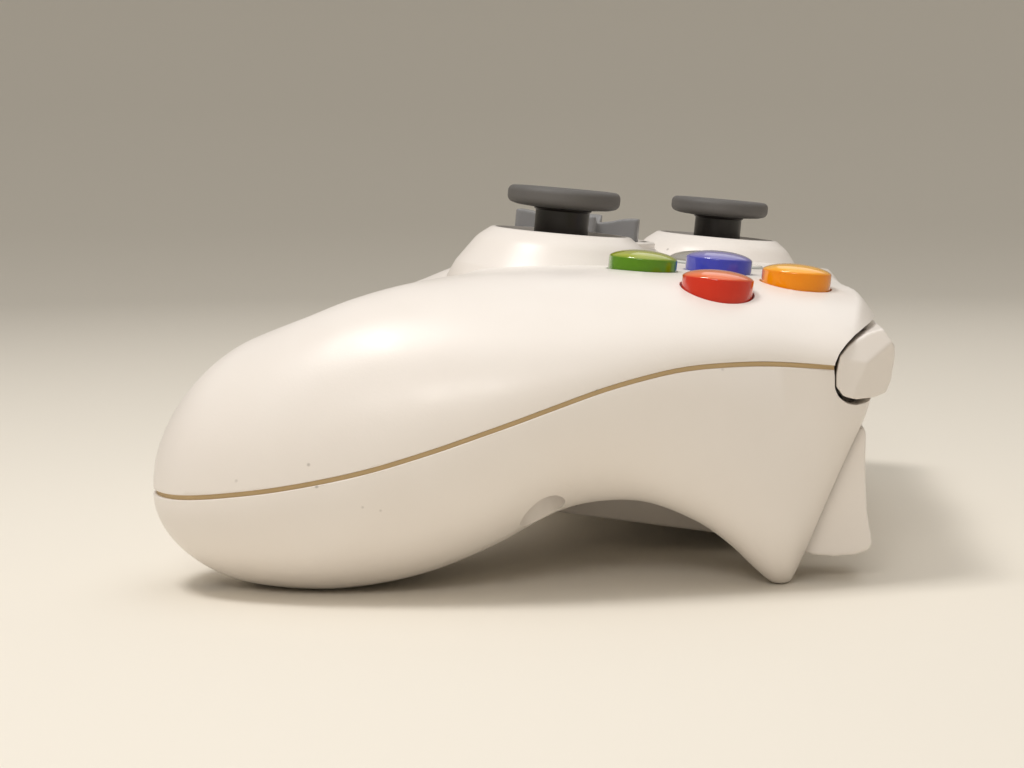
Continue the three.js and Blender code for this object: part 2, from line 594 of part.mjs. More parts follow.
// ---------------------------------------------------------------- rumble motors
const [motorX, motorY, motorZ] = MOTOR;
const onMotor = (solid) => placed(solid, at(motorX, motorY, motorZ).multiply(along.x));
const motor = onMotor(cut(rod(9, 0, 12.4, 24), rod(1.3, 8, 13, 14)));
const weight = onMotor(join(
  rod(1, 9, 20.2, 14),
  cut(rod(8.6, 13.6, 19.6, 24), box(30, 30, 30, -17.4, 0, 15)),
));

// ---------------------------------------------------------------- casings
const hood = overPlan(HOOD_FRONT, 0, edged(topSurface, SEAM_GAP / 2), seam(SEAM_GAP / 2), FINE);
const bowl = overPlan(CHIN_FRONT, 0, seam(-SEAM_GAP / 2), edged(bottomSurface, -SEAM_GAP / 2), FINE);
const bowlRoom = overPlan(CHIN_FRONT, WALL, seam(3 - SEAM_GAP / 2), overBottom);
const lip = cut(
  overPlan(CHIN_FRONT, 1.1, seam(-0.3), seam(-2)),
  overPlan(CHIN_FRONT, WALL + 0.05, seam(1), seam(-3)),
  placed(hood, at(0, 0, -0.3)),
);

const bumperSlot = bar([
  [44.5, 31.6], [44.5, 33], [45.2, 34.4], [46.3, 35.7], [47.6, 36.8], [49.3, 37.7], [51.7, 38.6], [58, 40.4],
  [58, 31.6],
], -61, 61);
const bumperEnd = bar(
  [[44.5, 33], [44.5, 29.3], [45.3, 27.9], [46.4, 27.1], [47.7, 26.7], [50, 27], [58, 27.2], [58, 33]],
  49.2, 61,
);
const triggerMouth = bar(
  [[36, 2.4], [35.2, 4.6], [35.2, 6.6], [40.4, 14.2], [45.3, 21.4], [46.2, 23.6], [58, 23.6], [58, 2.4]],
  38.6, 52.8,
);
const bothSides = (solid) => join(solid, mirrored(solid));

const collar = (rim, foot, low) =>
  turned([
    [0, -30], [foot, -30], [foot, low - 0.6], [foot - 1.6, low + 1.6], [foot - 3.2, low * 0.3], [rim, 0], [0, 0],
  ], 26);
const stickCollar = collar(11.3, 16.7, -5.4);
const stickWell = turned(
  [[0, -12], [10.8, -12], [10.8, -7.1], [9.4, -6.9], [9.4, -6.4], [10.7, -0.4], [10.9, 2], [0, 2]],
  22,
);
const padCollar = placed(collar(14.4, 17.4, -3.6), at(0, 0, -1.7));
const crossHole = crossPlate(CROSS_REACH + 1.1, CROSS_WIDTH + 1.3, -12, 0);
const padWell = join(rod(13, -3.4, 2, 22), crossHole);
const stickPlaces = Object.values(stickLayout);
const collars = join(...stickPlaces.map((place) => placed(stickCollar, place)), placed(padCollar, dpadPlace));
const hoodSolid = join(hood, collars.intersect(overPlan(HOOD_FRONT, 0, seam(40), seam(SEAM_GAP / 2))));

const buttonHole = rod(BUTTON_RADIUS + 0.35, -7, 8, 16);
const buttonHoles = Object.values(FACE_BUTTONS).map((spot) => placed(buttonHole, tilted(spot, FACE_TILT)));
const menuHoles = [
  placed(rod(9.85, -8, 6, 20), menu()),
  ...[-1, 1].map((side) => placed(plate(roundedRectangle(7.9, 5.3, 2.5), -8, 6), menu(side * MENU_SPREAD))),
];
// The room inside the top casing stops at a plane under the collars, which are solid above it.
const ceiling = (y) => 43.83 - Math.tan(degrees(FACE_TILT)) * y;
const collarRoom = overPlan(
  HOOD_FRONT,
  WALL,
  (x, y) => Math.min(underTop(x, y), ceiling(y)),
  seam(SEAM_GAP / 2 - 3),
);

const posts = [];
const bosses = [];
const recesses = [];
for (const [x, y, seat] of SCREWS) {
  for (const side of [-1, 1]) {
    const place = at(side * x, y, 0);
    posts.push(placed(tube(1.45, 3.6, seat + 2.7, 60, 12), place));
    bosses.push(placed(rod(4.8, -2, seat + 2.4), place));
    recesses.push(placed(join(rod(3.2, -5, seat, 16), rod(1.45, seat - 1, seat + 4)), place));
  }
}
const pinPosts = [-1, 1].map((side) => onPin(rod(PIN_RADIUS, 31.9, 60), side));

const topCasing = cut(
  join(
    cut(hoodSolid, collarRoom, bumperSlot),
    ...posts.map((post) => post.intersect(hood)),
    ...pinPosts.map((post) => post.intersect(hood)),
  ),
  ...stickPlaces.map((place) => placed(stickWell, place)),
  placed(padWell, dpadPlace),
  ...buttonHoles, ...menuHoles,
);

const boardPost = (x, y, low, high) => placed(rod(2.4, low, high, 10), at(x, y, 0));
const boardPosts = [1, -1].flatMap((side) => [
  boardPost(side * 50, 8, 13.4, 28.9),
  boardPost(side * 37, -7.5, 6.2, 30.4),
]);
const packWalls = placed(box(packX + 6.4, packY + 6.4, 40, 0, 0, 0.4), pack).intersect(bowl);
const packHole = placed(plate(roundedRectangle(packX + 0.8, packY + 0.8, 4.2), -30, 18), pack);
const cradle = cut(box(9, 15, 14, motorX + 6.2, motorY, 6), onMotor(rod(9.3, -5, 20, 24)));
const cheeks = join(box(1.8, 7, 4.3, 38.3, 46, 26.35), box(1.8, 7, 4.3, 48.3, 46, 26.35));
const cheekHoles = onAxis(rod(PIN_HOLE, 36, 51));
const armRoom = box(8, 8.3, 10.5, 43.3, 44.15, 25.3);
const inBowl = (solid) => solid.intersect(bowl);
const bottomCasing = cut(
  join(
    cut(bowl, bowlRoom),
    lip,
    packWalls,
    ...bosses.map(inBowl),
    ...boardPosts,
    ...[cradle, mirrored(cradle)].map(inBowl),
    bothSides(cheeks),
  ),
  box(200, 200, 10, 0, 0, -5),
  packHole,
  ...recesses,
  bumperSlot,
  portRoom,
  bothSides(cheekHoles),
  bothSides(armRoom),
  bothSides(bumperEnd),
  bothSides(triggerMouth),
);
mesh("top_casing", topCasing, shellWhite, root);
mesh("bottom_casing", bottomCasing, shellWhite, root);

const screw = (seat) => join(rod(2.7, seat - 2, seat - 0.3, 14), rod(1.15, seat - 0.6, seat + 9, 10));
const fixings = group("screws");
const screwNames = ["grip", "flank", "inner"];
SCREWS.forEach(([x, y, seat], i) => {
  mesh(`screw_${screwNames[i]}_right`, placed(screw(seat), at(x, y, 0)), steel, fixings);
  mesh(`screw_${screwNames[i]}_left`, placed(screw(seat), at(-x, y, 0)), steel, fixings);
});

// ---------------------------------------------------------------- pairs
const pairs = {
  trigger: [trigger, shellWhite], trigger_pin: [pin, steel], trigger_spring: [spring, steel],
  bumper: [bumper, shellWhite], rumble_motor: [motor, steel], rumble_weight: [weight, steel],
};
for (const [name, [solid, material]] of Object.entries(pairs)) {
  mesh(`${name}_right`, solid, material, root);
  mesh(`${name}_left`, mirrored(solid), material, root);
}
mesh("centre_cover", centreCover, shellWhite, root);
mesh("sync_button", syncButton, padGrey, root);
mesh("accessory_port", port, innerPlastic, root);

export default root;
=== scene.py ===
"""The looks of a white two-handed wireless gamepad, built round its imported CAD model.

Shapes are worked out in millimetres in the CAD model's own frame and put into Blender in metres.
"""

import json
import math

import bpy
import bmesh
import numpy as np
from mathutils import Matrix, Quaternion, Vector


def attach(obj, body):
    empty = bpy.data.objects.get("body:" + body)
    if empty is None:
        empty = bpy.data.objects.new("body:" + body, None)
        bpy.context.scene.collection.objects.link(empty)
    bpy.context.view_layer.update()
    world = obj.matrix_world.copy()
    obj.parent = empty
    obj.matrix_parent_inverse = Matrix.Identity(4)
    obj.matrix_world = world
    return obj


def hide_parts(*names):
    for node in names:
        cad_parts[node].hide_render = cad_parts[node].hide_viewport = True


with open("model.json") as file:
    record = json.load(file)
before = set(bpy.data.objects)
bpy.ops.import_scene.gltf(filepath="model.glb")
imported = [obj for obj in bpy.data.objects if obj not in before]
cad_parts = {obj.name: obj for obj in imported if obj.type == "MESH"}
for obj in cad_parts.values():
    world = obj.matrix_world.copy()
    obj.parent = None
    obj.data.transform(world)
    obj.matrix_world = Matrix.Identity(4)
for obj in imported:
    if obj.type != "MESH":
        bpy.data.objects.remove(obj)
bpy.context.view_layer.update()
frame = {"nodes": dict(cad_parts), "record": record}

MM = 0.001

# ---------------------------------------------------------------- the camera and the studio
EYE = (339.5, 28.0, 58.5)
GAZE = (-0.98949, -0.10347, -0.10103)
ROLL = -0.0086
LENS = 69.2


def add_camera():
    data = bpy.data.cameras.new("camera")
    data.lens = LENS
    data.sensor_width = 36
    data.clip_start, data.clip_end = 0.01, 20
    camera = bpy.data.objects.new("camera", data)
    bpy.context.collection.objects.link(camera)
    camera.location = Vector(EYE) * MM
    camera.rotation_mode = "QUATERNION"
    camera.rotation_quaternion = Vector(GAZE).to_track_quat("-Z", "Y") @ Quaternion((0, 0, 1), ROLL)
    bpy.context.scene.camera = camera


def add_light(name, place, size, power, colour, target=(0, 0, 25)):
    data = bpy.data.lights.new(name, "AREA")
    data.shape = "RECTANGLE"
    data.size, data.size_y = size[0] * MM, size[1] * MM
    data.energy = power
    data.color = colour
    light = bpy.data.objects.new(name, data)
    bpy.context.collection.objects.link(light)
    light.location = Vector(place) * MM
    light.rotation_mode = "QUATERNION"
    light.rotation_quaternion = (Vector(target) - Vector(place)).to_track_quat("-Z", "Y")


def add_studio():
    add_light("key", (174, -205, 589), (190, 140), 1.8, (1.0, 0.975, 0.955))
    add_light("top", (40, 120, 640), (600, 500), 0.9, (1.0, 0.975, 0.95))
    add_light("fill", (560, -50, 340), (200, 120), 0.6, (1.0, 0.965, 0.93))
    add_light("back", (-420, 160, 480), (420, 320), 0.3, (1.0, 0.98, 0.96))
    world = bpy.data.worlds.new("studio")
    world.use_nodes = True
    world.node_tree.nodes["Background"].inputs["Color"].default_value = (1.0, 0.97, 0.92, 1)
    world.node_tree.nodes["Background"].inputs["Strength"].default_value = 0.37
    bpy.context.scene.world = world
    bpy.context.scene.view_settings.view_transform = "Standard"
    profile = [(0, 0), (700, 0), (1000, 30), (1300, 120), (1600, 330), (1800, 650), (1900, 1100)]
    floor = make_object("floor", *lathe(profile, 96))
    shade(floor, 180)
    floor.data.materials.append(plain("floor_paper", (0.84, 0.79, 0.70), 0.85))


# ---------------------------------------------------------------- mesh building
def make_object(name, points, faces):
    """A mesh object from points in millimetres."""
    mesh = bpy.data.meshes.new(name)
    mesh.from_pydata((np.asarray(points, float) * MM).tolist(), [], faces)
    mesh.validate()
    made = bpy.data.objects.new(name, mesh)
    bpy.context.collection.objects.link(made)
    return made


def moved(shape, matrix):
    """The same shape through a 4 by 4 matrix."""
    points, faces = shape
    m = np.array(matrix)
    points = np.asarray(points, float) @ m[:3, :3].T + m[:3, 3]
    if np.linalg.det(m[:3, :3]) < 0:
        faces = [face[::-1] for face in faces]
    return points, faces


def at(x, y, z):
    return Matrix.Translation((x, y, z))


def tilted(place, degrees):
    return at(*place) @ Matrix.Rotation(math.radians(-degrees), 4, "X")


ALONG_Y = Matrix.Rotation(math.radians(-90), 4, "X")
ACROSS = Matrix(((0, 0, 1, 0), (1, 0, 0, 0), (0, 1, 0, 0), (0, 0, 0, 1)))
MIRROR = Matrix.Diagonal((-1, 1, 1, 1))
BOTH_SIDES = (Matrix.Identity(4), MIRROR)
ON_AXIS = 1e-6  # a radius smaller than this is a single point on the axis
WELD = 2e-6  # points nearer than this, in metres, become one


def lathe(profile, segments=72):
    """A shape turned about +Z from (radius, height) pairs, its inside on the left of the way round them.

    A profile that starts away from the axis is closed into a ring.
    """
    points, rings, faces = [], [], []
    for radius, height in profile:
        count = 1 if radius < ON_AXIS else segments
        rings.append([len(points) + i for i in range(count)])
        for i in range(count):
            a = 2 * math.pi * i / segments
            points.append((radius * math.cos(a), radius * math.sin(a), height))
    pairs = list(zip(rings, rings[1:]))
    if profile[0][0] > ON_AXIS:
        pairs.append((rings[-1], rings[0]))
    for low, high in pairs:
        for i in range(segments):
            k = (i + 1) % segments
            if len(low) == 1 and len(high) == 1:
                continue
            if len(low) == 1:
                faces.append((low[0], high[k], high[i]))
            elif len(high) == 1:
                faces.append((low[i], low[k], high[0]))
            else:
                faces.append((low[i], low[k], high[k], high[i]))
    return np.array(points), faces


def rounded(corners, radii, steps=5):
    """An open row of 2-D corners with arcs of the given radii in place of the corners that have one."""
    if not hasattr(radii, "__len__"):
        radii = [radii] * len(corners)
    made = []
    for i, (corner, radius) in enumerate(zip(corners, radii)):
        p = np.array(corner, float)
        if radius <= 0 or i in (0, len(corners) - 1):
            made.append(tuple(p))
            continue
        made += arc_at(np.array(corners[i - 1], float), p, np.array(corners[i + 1], float), radius, steps)
    return made


def arc_at(before, corner, after, radius, steps):
    a, b = before - corner, after - corner
    la, lb = np.linalg.norm(a), np.linalg.norm(b)
    a, b = a / la, b / lb
    half = math.acos(np.clip(a @ b, -1, 1)) / 2
    if half > math.pi / 2 - 0.02:
        return [tuple(corner)]
    reach = min(radius / math.tan(half), la * 0.48, lb * 0.48)
    radius = reach * math.tan(half)
    centre = corner + (a + b) / np.linalg.norm(a + b) * radius / math.sin(half)
    start, end = corner + a * reach - centre, corner + b * reach - centre
    turn = math.atan2(start[0] * end[1] - start[1] * end[0], start @ end)
    made = []
    for i in range(steps + 1):
        t = turn * i / steps
        c, s = math.cos(t), math.sin(t)
        made.append(tuple(centre + np.array([c * start[0] - s * start[1], s * start[0] + c * start[1]])))
    return made


def loop_rounded(corners, radius, steps=5):
    """A closed outline with every corner rounded."""
    pts = [np.array(c, float) for c in corners]
    made = []
    for i, p in enumerate(pts):
        made += arc_at(pts[i - 1], p, pts[(i + 1) % len(pts)], radius, steps)
    return made


def plate(outline, low, high):
    """A plate whose counter-clockwise outline lies in X and Y."""
    n = len(outline)
    points = [(x, y, low) for x, y in outline] + [(x, y, high) for x, y in outline]
    faces = [tuple(range(n))[::-1], tuple(range(n, 2 * n))]
    faces += [(i, (i + 1) % n, (i + 1) % n + n, i + n) for i in range(n)]
    return np.array(points), faces


def block(x0, x1, y0, y1, z0, z1):
    return plate([(x0, y0), (x1, y0), (x1, y1), (x0, y1)], z0, z1)


def bar(outline, left, right):
    """A bar whose counter-clockwise outline lies in Y and Z."""
    return moved(plate(outline, left, right), ACROSS)


def rod(radius, low, high, segments=40):
    return lathe([(0, low), (radius, low), (radius, high), (0, high)], segments)


def rectangle(width, height, radius, x=0, y=0, steps=5):
    w, h = width / 2, height / 2
    return loop_rounded([(x - w, y - h), (x + w, y - h), (x + w, y + h), (x - w, y + h)], radius, steps)


def carved(name, shape, steps):
    """A shape joined with and cut by others, in order. A step is an operation's name and a shape."""
    made = make_object(name, *shape)
    helpers = []
    for i, (operation, other) in enumerate(steps):
        helper = make_object(f"{name}_{i}", *other)
        modifier = made.modifiers.new(f"step_{i}", "BOOLEAN")
        modifier.operation = operation
        modifier.solver = "MANIFOLD"
        modifier.object = helper
        helpers.append(helper)
    apply_modifiers(made)
    for helper in helpers:
        bpy.data.objects.remove(helper)
    return made


def apply_modifiers(made):
    graph = bpy.context.evaluated_depsgraph_get()
    mesh = bpy.data.meshes.new_from_object(made.evaluated_get(graph))
    made.modifiers.clear()
    made.data = mesh


def shape_of(made):
    """The points, in millimetres, and faces of an object, so that it can be used as a shape."""
    points = np.array([tuple(v.co) for v in made.data.vertices]) / MM
    faces = [tuple(p.vertices) for p in made.data.polygons]
    bpy.data.objects.remove(made)
    return points, faces


def shade(made, angle=32):
    """Smooth shading with edges over the angle kept crisp."""
    work = bmesh.new()
    work.from_mesh(made.data)
    bmesh.ops.remove_doubles(work, verts=work.verts, dist=WELD)
    limit = math.radians(angle)
    for face in work.faces:
        face.smooth = True
    for edge in work.edges:
        edge.smooth = len(edge.link_faces) != 2 or edge.calc_face_angle(0) < limit
    work.to_mesh(made.data)
    work.free()


def melted(made, cell, rounds):
    """Rounds every edge a little: the shape is meshed again in small cells and relaxed."""
    remesh = made.modifiers.new("cells", "REMESH")
    remesh.mode = "VOXEL"
    remesh.voxel_size = cell * MM
    relax = made.modifiers.new("relax", "SMOOTH")
    relax.factor = 0.5
    relax.iterations = rounds
    apply_modifiers(made)
    for face in made.data.polygons:
        face.use_smooth = True


def bevelled(made, width, segments=3, angle=30):
    modifier = made.modifiers.new("edges", "BEVEL")
    modifier.width = width * MM
    modifier.segments = segments
    modifier.limit_method = "ANGLE"
    modifier.angle_limit = math.radians(angle)
    apply_modifiers(made)


def stand_for(made, material, body, slot, *nodes):
    """Gives a piece its material and its body, and hides the CAD nodes it stands for. The slot is not used.
    """
    made.data.materials.clear()
    made.data.materials.append(material)
    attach(made, body)
    if nodes:
        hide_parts(*nodes)


# ---------------------------------------------------------------- the casing's surfaces, as in the CAD model
WALL = 2.2
SEAM_GAP = 0.7
HOOD_FRONT = 55.0
CHIN_FRONT = 52.2
HOOD_SLOPE = (7.5, 5.5)  # how far back the hood slopes at its front, in the middle and at its shoulders
CHIN_ROUND = 2.0
FRONT_BOW = (35, 0.0045)  # where the front edge starts to fall back, and by how much of a square
REAR_EDGE = [(0, -14), (12, -15), (22, -17.5), (31, -22.5), (37.5, -31), (42, -42), (49, -51)]
GRIP_TIP = (60, -54.4)
SIDE_EDGE = [(70, -49), (75.4, -36), (76.5, -18), (74.5, 0), (70.5, 16), (65.8, 30), (61.6, 40)]
SHOULDER = [(59.2, 6.5), (55, 2.4), (46, 0.5), (30, 0), (12, 0), (0, 0)]


def smoothstep(value, low, high):
    t = np.clip((np.asarray(value, float) - low) / (high - low), 0, 1)
    return t * t * (3 - 2 * t)


def lerp(a, b, share):
    return a + (b - a) * share


def curve_through(pairs):
    xs = np.array([p[0] for p in pairs], float)
    ys = np.array([p[1] for p in pairs], float)
    before, after = np.r_[0, np.arange(len(xs) - 1)], np.r_[np.arange(1, len(xs)), len(xs) - 1]
    slopes = (ys[after] - ys[before]) / (xs[after] - xs[before])

    def value(place):
        p = np.clip(np.asarray(place, float), xs[0], xs[-1])
        k = np.clip(np.searchsorted(xs, p, side="right") - 1, 0, len(xs) - 2)
        h = xs[k + 1] - xs[k]
        t = (p - xs[k]) / h
        return (
            (2 * t**3 - 3 * t**2 + 1) * ys[k]
            + (t**3 - 2 * t**2 + t) * h * slopes[k]
            + (3 * t**2 - 2 * t**3) * ys[k + 1]
            + (t**3 - t**2) * h * slopes[k + 1]
        )

    return value


seam_height = curve_through([
    (-54, 14.5), (-48, 14.8), (-41.5, 15.5), (-31.5, 17), (-20.5, 19.3), (-11, 22.1), (-4.5, 24.3),
    (1, 26.2), (6, 28), (13, 30.4), (20, 32.2), (24.5, 32.95), (30, 33.25), (35, 33.2), (42, 32.6),
    (46, 32.2), (56, 31.6),
])
crown_height = curve_through([
    (-54, 33), (-46, 34.9), (-39, 36.8), (-32, 39.3), (-25, 42), (-18, 43.9), (-9, 45.3), (3, 45.9),
    (17, 45.4), (28, 44.5), (40, 43.3), (54, 41.5),
])
belly_height = curve_through([
    (-54, 1.4), (-44, 0.4), (-34, -0.25), (-25, 0.1), (-14, 2.4), (-4, 6.4), (5, 11.2), (11, 12.7),
    (18, 12.5), (25.4, 9.4), (30, 5.9), (34, 1.8), (36.4, -0.15), (38.6, -0.1), (39.8, 1.8), (41.1, 4.7),
    (44.9, 13.4), (49.3, 23.2), (51, 27), (52.2, 29.8),
])
centre_belly = curve_through([(-14, 14), (0, 13), (36, 12), (44, 15), (51, 24), (52.2, 26)])
top_round = curve_through([(-54, 17.4), (-30, 18), (-10, 22), (8, 26), (54, 26)])
bottom_round = curve_through([(-54, 17.4), (-30, 17.8), (-10, 17), (10, 15), (30, 12), (54, 11)])


def rounding(share, power=2.0):
    return (1 - (1 - np.clip(share, 0, 1)) ** power) ** (1 / power)


def front_edge(x, front):
    return front - FRONT_BOW[1] * np.maximum(0, np.abs(x) - FRONT_BOW[0]) ** 2


def outline(front, inset=0.0, count=2400):
    """The plan's closed outline: a centripetal Catmull-Rom curve through the named points."""
    half = [*REAR_EDGE, GRIP_TIP, *SIDE_EDGE, *[(x, front - back) for x, back in SHOULDER]]
    loop = np.array(half + [(-x, y) for x, y in half[1:-1]][::-1], float)
    n = len(loop)
    u = np.arange(count) / count * n
    k, t = u.astype(int), u - u.astype(int)
    p0, p1, p2, p3 = (loop[(k + i) % n] for i in (-1, 0, 1, 2))
    d0, d1, d2 = (np.sqrt(np.linalg.norm(b - a, axis=1))[:, None] for a, b in ((p0, p1), (p1, p2), (p2, p3)))
    m1 = ((p1 - p0) / d0 - (p2 - p0) / (d0 + d1) + (p2 - p1) / d1) * d1
    m2 = ((p2 - p1) / d1 - (p3 - p1) / (d1 + d2) + (p3 - p2) / d2) * d1
    t = t[:, None]
    t2, t3 = t**2, t**3
    points = (2 * t3 - 3 * t2 + 1) * p1 + (t3 - 2 * t2 + t) * m1 + (3 * t2 - 2 * t3) * p2 + (t3 - t2) * m2
    along = np.roll(points, -1, axis=0) - np.roll(points, 1, axis=0)
    along /= np.linalg.norm(along, axis=1)[:, None]
    return points + inset * np.c_[-along[:, 1], along[:, 0]]


def side_curve(front):
    """The plan's sides and rear edge, with the shoulders carried straight on to the front."""
    loop = outline(front, count=1200)
    tip = front - SHOULDER[0][1]
    rising = np.flatnonzero((loop[:, 0] > 0) & (loop[:, 1] < tip))
    right = loop[rising[0]:rising[-1] + 1]
    slope = (right[-1, 0] - right[-8, 0]) / (right[-1, 1] - right[-8, 1])
    ys = np.arange(right[-1, 1] + 0.3, 70, 0.3)
    right = np.vstack([right, np.c_[right[-1, 0] + slope * (ys - right[-1, 1]), ys]])
    return np.vstack([right, (right * (-1, 1))[:0:-1]])


SIDES = {front: side_curve(front) for front in (HOOD_FRONT, CHIN_FRONT)}
PLACES_AT_ONCE = 1500  # keeps the distance tables small


def side_distance(x, y, front):
    """How far inside the plan's sides and rear edge a place is; negative outside."""
    shape = np.shape(x)
    places = np.c_[np.ravel(x), np.ravel(y)]
    found = np.empty(len(places))
    sides = SIDES[front]
    count = len(sides)
    for start in range(0, len(places), PLACES_AT_ONCE):
        chunk = places[start:start + PLACES_AT_ONCE]
        gaps = ((chunk[:, None, :] - sides[None]) ** 2).sum(axis=2)
        near = gaps.argmin(axis=1)
        a, b = sides[(near - 1) % count], sides[(near + 1) % count]
        along = b - a
        cross = along[:, 0] * (chunk[:, 1] - a[:, 1]) - along[:, 1] * (chunk[:, 0] - a[:, 0])
        inside = cross / np.linalg.norm(along, axis=1)
        found[start:start + PLACES_AT_ONCE] = np.where(cross > 0, inside, -np.sqrt(gaps.min(axis=1)))
    return found.reshape(shape)


def top_surface(x, y):
    base = seam_height(y) + SEAM_GAP / 2
    middle = (1 - smoothstep(np.abs(x), 24, 50)) * smoothstep(y, -46, -18) * (1 - smoothstep(y, 8, 20))
    side = rounding(side_distance(x, y, HOOD_FRONT) / lerp(top_round(y), 10, middle))
    slope = lerp(*HOOD_SLOPE, smoothstep(np.abs(x), 20, 46))
    front = rounding((front_edge(x, HOOD_FRONT) - y) / slope, 1.2)
    return base + (crown_height(y) - base) * side * front


def bottom_surface(x, y):
    base = seam_height(y) - SEAM_GAP / 2
    power = lerp(2, 2.6, smoothstep(y, 5, 30))
    side = rounding(side_distance(x, y, CHIN_FRONT) / bottom_round(y), power)
    front = rounding((front_edge(x, CHIN_FRONT) - y) / CHIN_ROUND)
    outwards = 1 - (1 - smoothstep(np.abs(x), 31, 36.5)) * smoothstep(y, -12, 6)
    return base - (base - lerp(centre_belly(y), belly_height(y), outwards)) * side * front


OFFSETS = [(0, 0, 1), (0.87, 0, 0.5), (-0.87, 0, 0.5), (0, 0.87, 0.5), (0, -0.87, 0.5), (1, 0, 0), (-1, 0, 0),
           (0, 1, 0), (0, -1, 0)]


def under_top(x, y):
    return np.min([top_surface(x + a * WALL, y + b * WALL) - c * WALL for a, b, c in OFFSETS], axis=0)


def over_bottom(x, y):
    return np.max([bottom_surface(x + a * WALL, y + b * WALL) + c * WALL for a, b, c in OFFSETS], axis=0)


COLUMNS = [0, 15, 28, 33, 36.5, 44, 52, 59.5, 66, 71.2, 74.8, 76.4]
ROWS = [5, 11.5, 18.5, 25, 30, 34, 36.4, 38.4, 40.6, 44.4, 48.8, 52.2]
REAR_STEPS = 7
FINE, MEDIUM, COARSE = 9, 7, 4  # steps between two neighbouring columns or rows
SIDE_FIT, REAR_FIT = 0.9996, 0.9966  # the smooth curves kept within the CAD model's polygons


def over_plan(front, inset, upper, lower, fineness):
    """A closed solid over the plan, between two height functions of x, y and being on the edge."""
    loop = outline(front, inset)
    widest = loop[:, 0].max() - 0.004
    side = np.interp(np.arange((len(COLUMNS) - 1) * fineness + 1) / fineness, range(len(COLUMNS)), COLUMNS)
    last = side[-fineness - 1:]
    share = np.linspace(0, 1, fineness + 1)
    side[-fineness - 1:] = last[0] + (COLUMNS[-1] - last[0]) * np.sin(share * math.pi / 2)
    side *= widest / side[-1]
    xs = np.r_[-side[:0:-1], side]
    a, b = loop, np.roll(loop, -1, axis=0)
    rear = REAR_STEPS * fineness
    rows = np.interp(np.arange((len(ROWS) - 1) * fineness + 1) / fineness, range(len(ROWS)), ROWS)[1:]
    straight = (rows - ROWS[0]) / (rows[-1] - ROWS[0])
    back = 1 - np.cos(np.pi * np.arange(rear + 1) / rear / 2)
    grid = []
    for x in xs:
        hit = (a[:, 0] <= x) != (b[:, 0] <= x)
        ys = a[hit, 1] + (x - a[hit, 0]) / (b[hit, 0] - a[hit, 0]) * (b[hit, 1] - a[hit, 1])
        low, high = ys.min(), ys.max()
        w = 1 - smoothstep(abs(x), 60, widest)
        split = lerp((low + high) / 2, ROWS[0], w)
        ahead = lerp(np.sin(np.pi / 2 * straight), straight, w)
        grid.append(np.r_[lerp(low, split, back), lerp(split, high, ahead)])
    grid = np.array(grid)
    columns, n = grid.shape
    x = np.repeat(xs[:, None], n, axis=1)
    edge = np.zeros(grid.shape, bool)
    edge[[0, -1], :] = True
    edge[:, [0, -1]] = True
    flat = [np.stack([x, grid, height(x, grid, edge)], axis=2).reshape(-1, 3) for height in (upper, lower)]
    points = np.vstack(flat) * (SIDE_FIT, 1, 1)
    points[:, 1] *= np.where(points[:, 1] < 0, REAR_FIT, 1)
    up = np.arange(columns * n).reshape(columns, n)
    down = up + columns * n
    faces = []

    def quads(p, q, r, s):
        faces.extend(np.stack([p.ravel(), q.ravel(), r.ravel(), s.ravel()], axis=1).tolist())

    quads(up[:-1, :-1], up[1:, :-1], up[1:, 1:], up[:-1, 1:])
    quads(down[:-1, :-1], down[:-1, 1:], down[1:, 1:], down[1:, :-1])
    quads(up[:-1, 0], down[:-1, 0], down[1:, 0], up[1:, 0])
    quads(up[:-1, -1], up[1:, -1], down[1:, -1], down[:-1, -1])
    quads(up[0, :-1], up[0, 1:], down[0, 1:], down[0, :-1])
    quads(up[-1, :-1], down[-1, :-1], down[-1, 1:], up[-1, 1:])
    return points, faces


def seam(offset):
    return lambda x, y, edge: seam_height(y) + offset


EDGE_ROUND = 0.15


def hood_top(x, y, edge):
    limit = seam_height(y) + SEAM_GAP / 2 + EDGE_ROUND
    return np.where(edge, limit, np.maximum(top_surface(x, y), limit))


def rim_round(x, y, front):
    share = 1 - np.clip(side_distance(x, y, front) / EDGE_ROUND, 0, 1)
    return EDGE_ROUND * (1 - np.sqrt(1 - share**2))


def bowl_bottom(x, y, edge):
    limit = seam_height(y) - SEAM_GAP / 2 - EDGE_ROUND
    return np.where(edge, limit, np.minimum(bottom_surface(x, y), limit))


# ---------------------------------------------------------------- places on the casing
FACE_TILT = 5.5
FACE = tilted((0, 15, 49.6), FACE_TILT)
LEFT_STICK = FACE @ at(-39, 13, 0)
RIGHT_STICK = FACE @ at(19.5, -12.3, 0)
DPAD = FACE @ at(-18.5, -12.3, 0)
MENU = tilted((0, 26.4, 44.6), FACE_TILT)
MENU_SPREAD = 14.6
FACE_BUTTONS = {
    "green": (40, 16.7, 45.4), "red": (52.2, 28, 42.9), "blue": (27.8, 28.2, 44.8), "amber": (40, 39.8, 43.2),
}
BUTTON_RADIUS, BUTTON_FOOT = 5.2, -6
CROSS_REACH, CROSS_WIDTH = 11.1, 7.6
PACK = tilted((0, 21, 3.6), 7)
SYNC_BUTTON = (10, 51.2, 34)
SCREWS = [(60, -44.6, 9.2), (65, 3.5, 17.2), (32.5, -16.8, 16.5)]
STICK_COLLAR = (11.3, 16.7, -5.4)  # the radius of the rim, the radius of the foot and how low the foot is
DPAD_COLLAR = (14.4, 17.4, -3.6)

